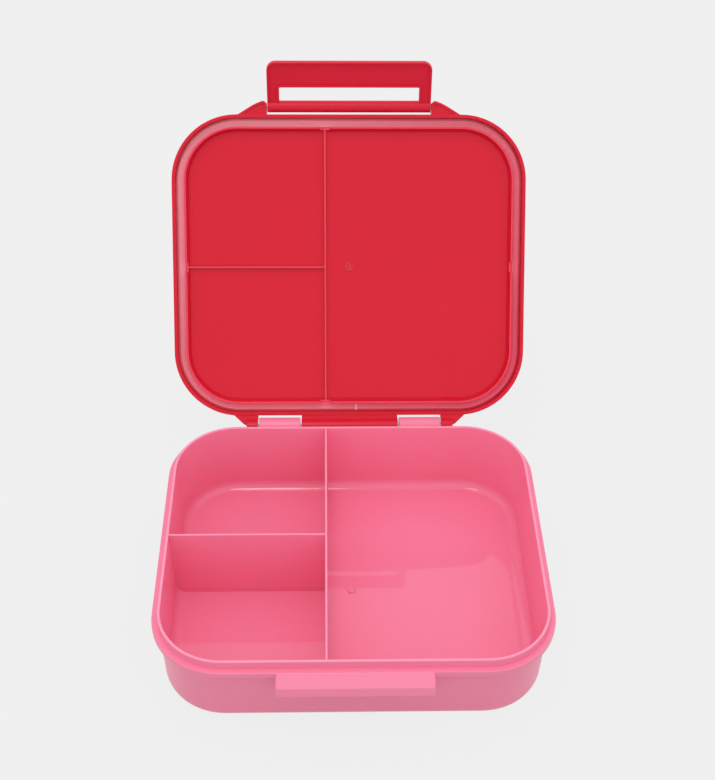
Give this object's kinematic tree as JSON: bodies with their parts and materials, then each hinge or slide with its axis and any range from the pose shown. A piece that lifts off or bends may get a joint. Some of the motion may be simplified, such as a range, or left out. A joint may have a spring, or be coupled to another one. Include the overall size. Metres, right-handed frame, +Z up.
{
  "type": "lunch box",
  "caption": "Shallow lunch box with a divided tray, a hinged lid with a sealing ring, and a front clip that snaps over a keeper.",
  "frame": {"origin": "centre of the tray's flat underside", "axes": "+Z up, +X to the right with the clip side towards the viewer, -Y to the front (clip side), +Y to the hinge"},
  "size_m": [0.2004, 0.2943, 0.2124],
  "materials": {
    "tray_plastic": "pink injection-moulded polypropylene, satin walls and a glossy floor",
    "lid_plastic": "red injection-moulded polypropylene, satin",
    "clip_plastic": "red injection-moulded polypropylene, satin",
    "seal_silicone": "milky translucent silicone, soft",
    "pin_steel": "plain steel wire"
  },
  "bodies": {
    "tray": {"base_tray": "tray_plastic", "hinge_pin_left": "pin_steel", "hinge_pin_right": "pin_steel"},
    "lid": {"lid_shell": "lid_plastic", "lid_seal": "seal_silicone", "clip_pin_left": "pin_steel", "clip_pin_right": "pin_steel"},
    "clip": {"front_clip": "clip_plastic"}
  },
  "joints": [
    {"name": "lid_hinge", "type": "hinge", "parent": "tray", "child": "lid", "pos_m": [0, 0.0912, 0.038], "axis": [-1, 0, 0], "range_deg": [-123.6, 0]},
    {"name": "clip_hinge", "type": "hinge", "parent": "lid", "child": "clip", "pos_m": [0, 0.19686, 0.18529], "axis": [-1, 0, 0], "range_deg": [-60, 140]}
  ]
}
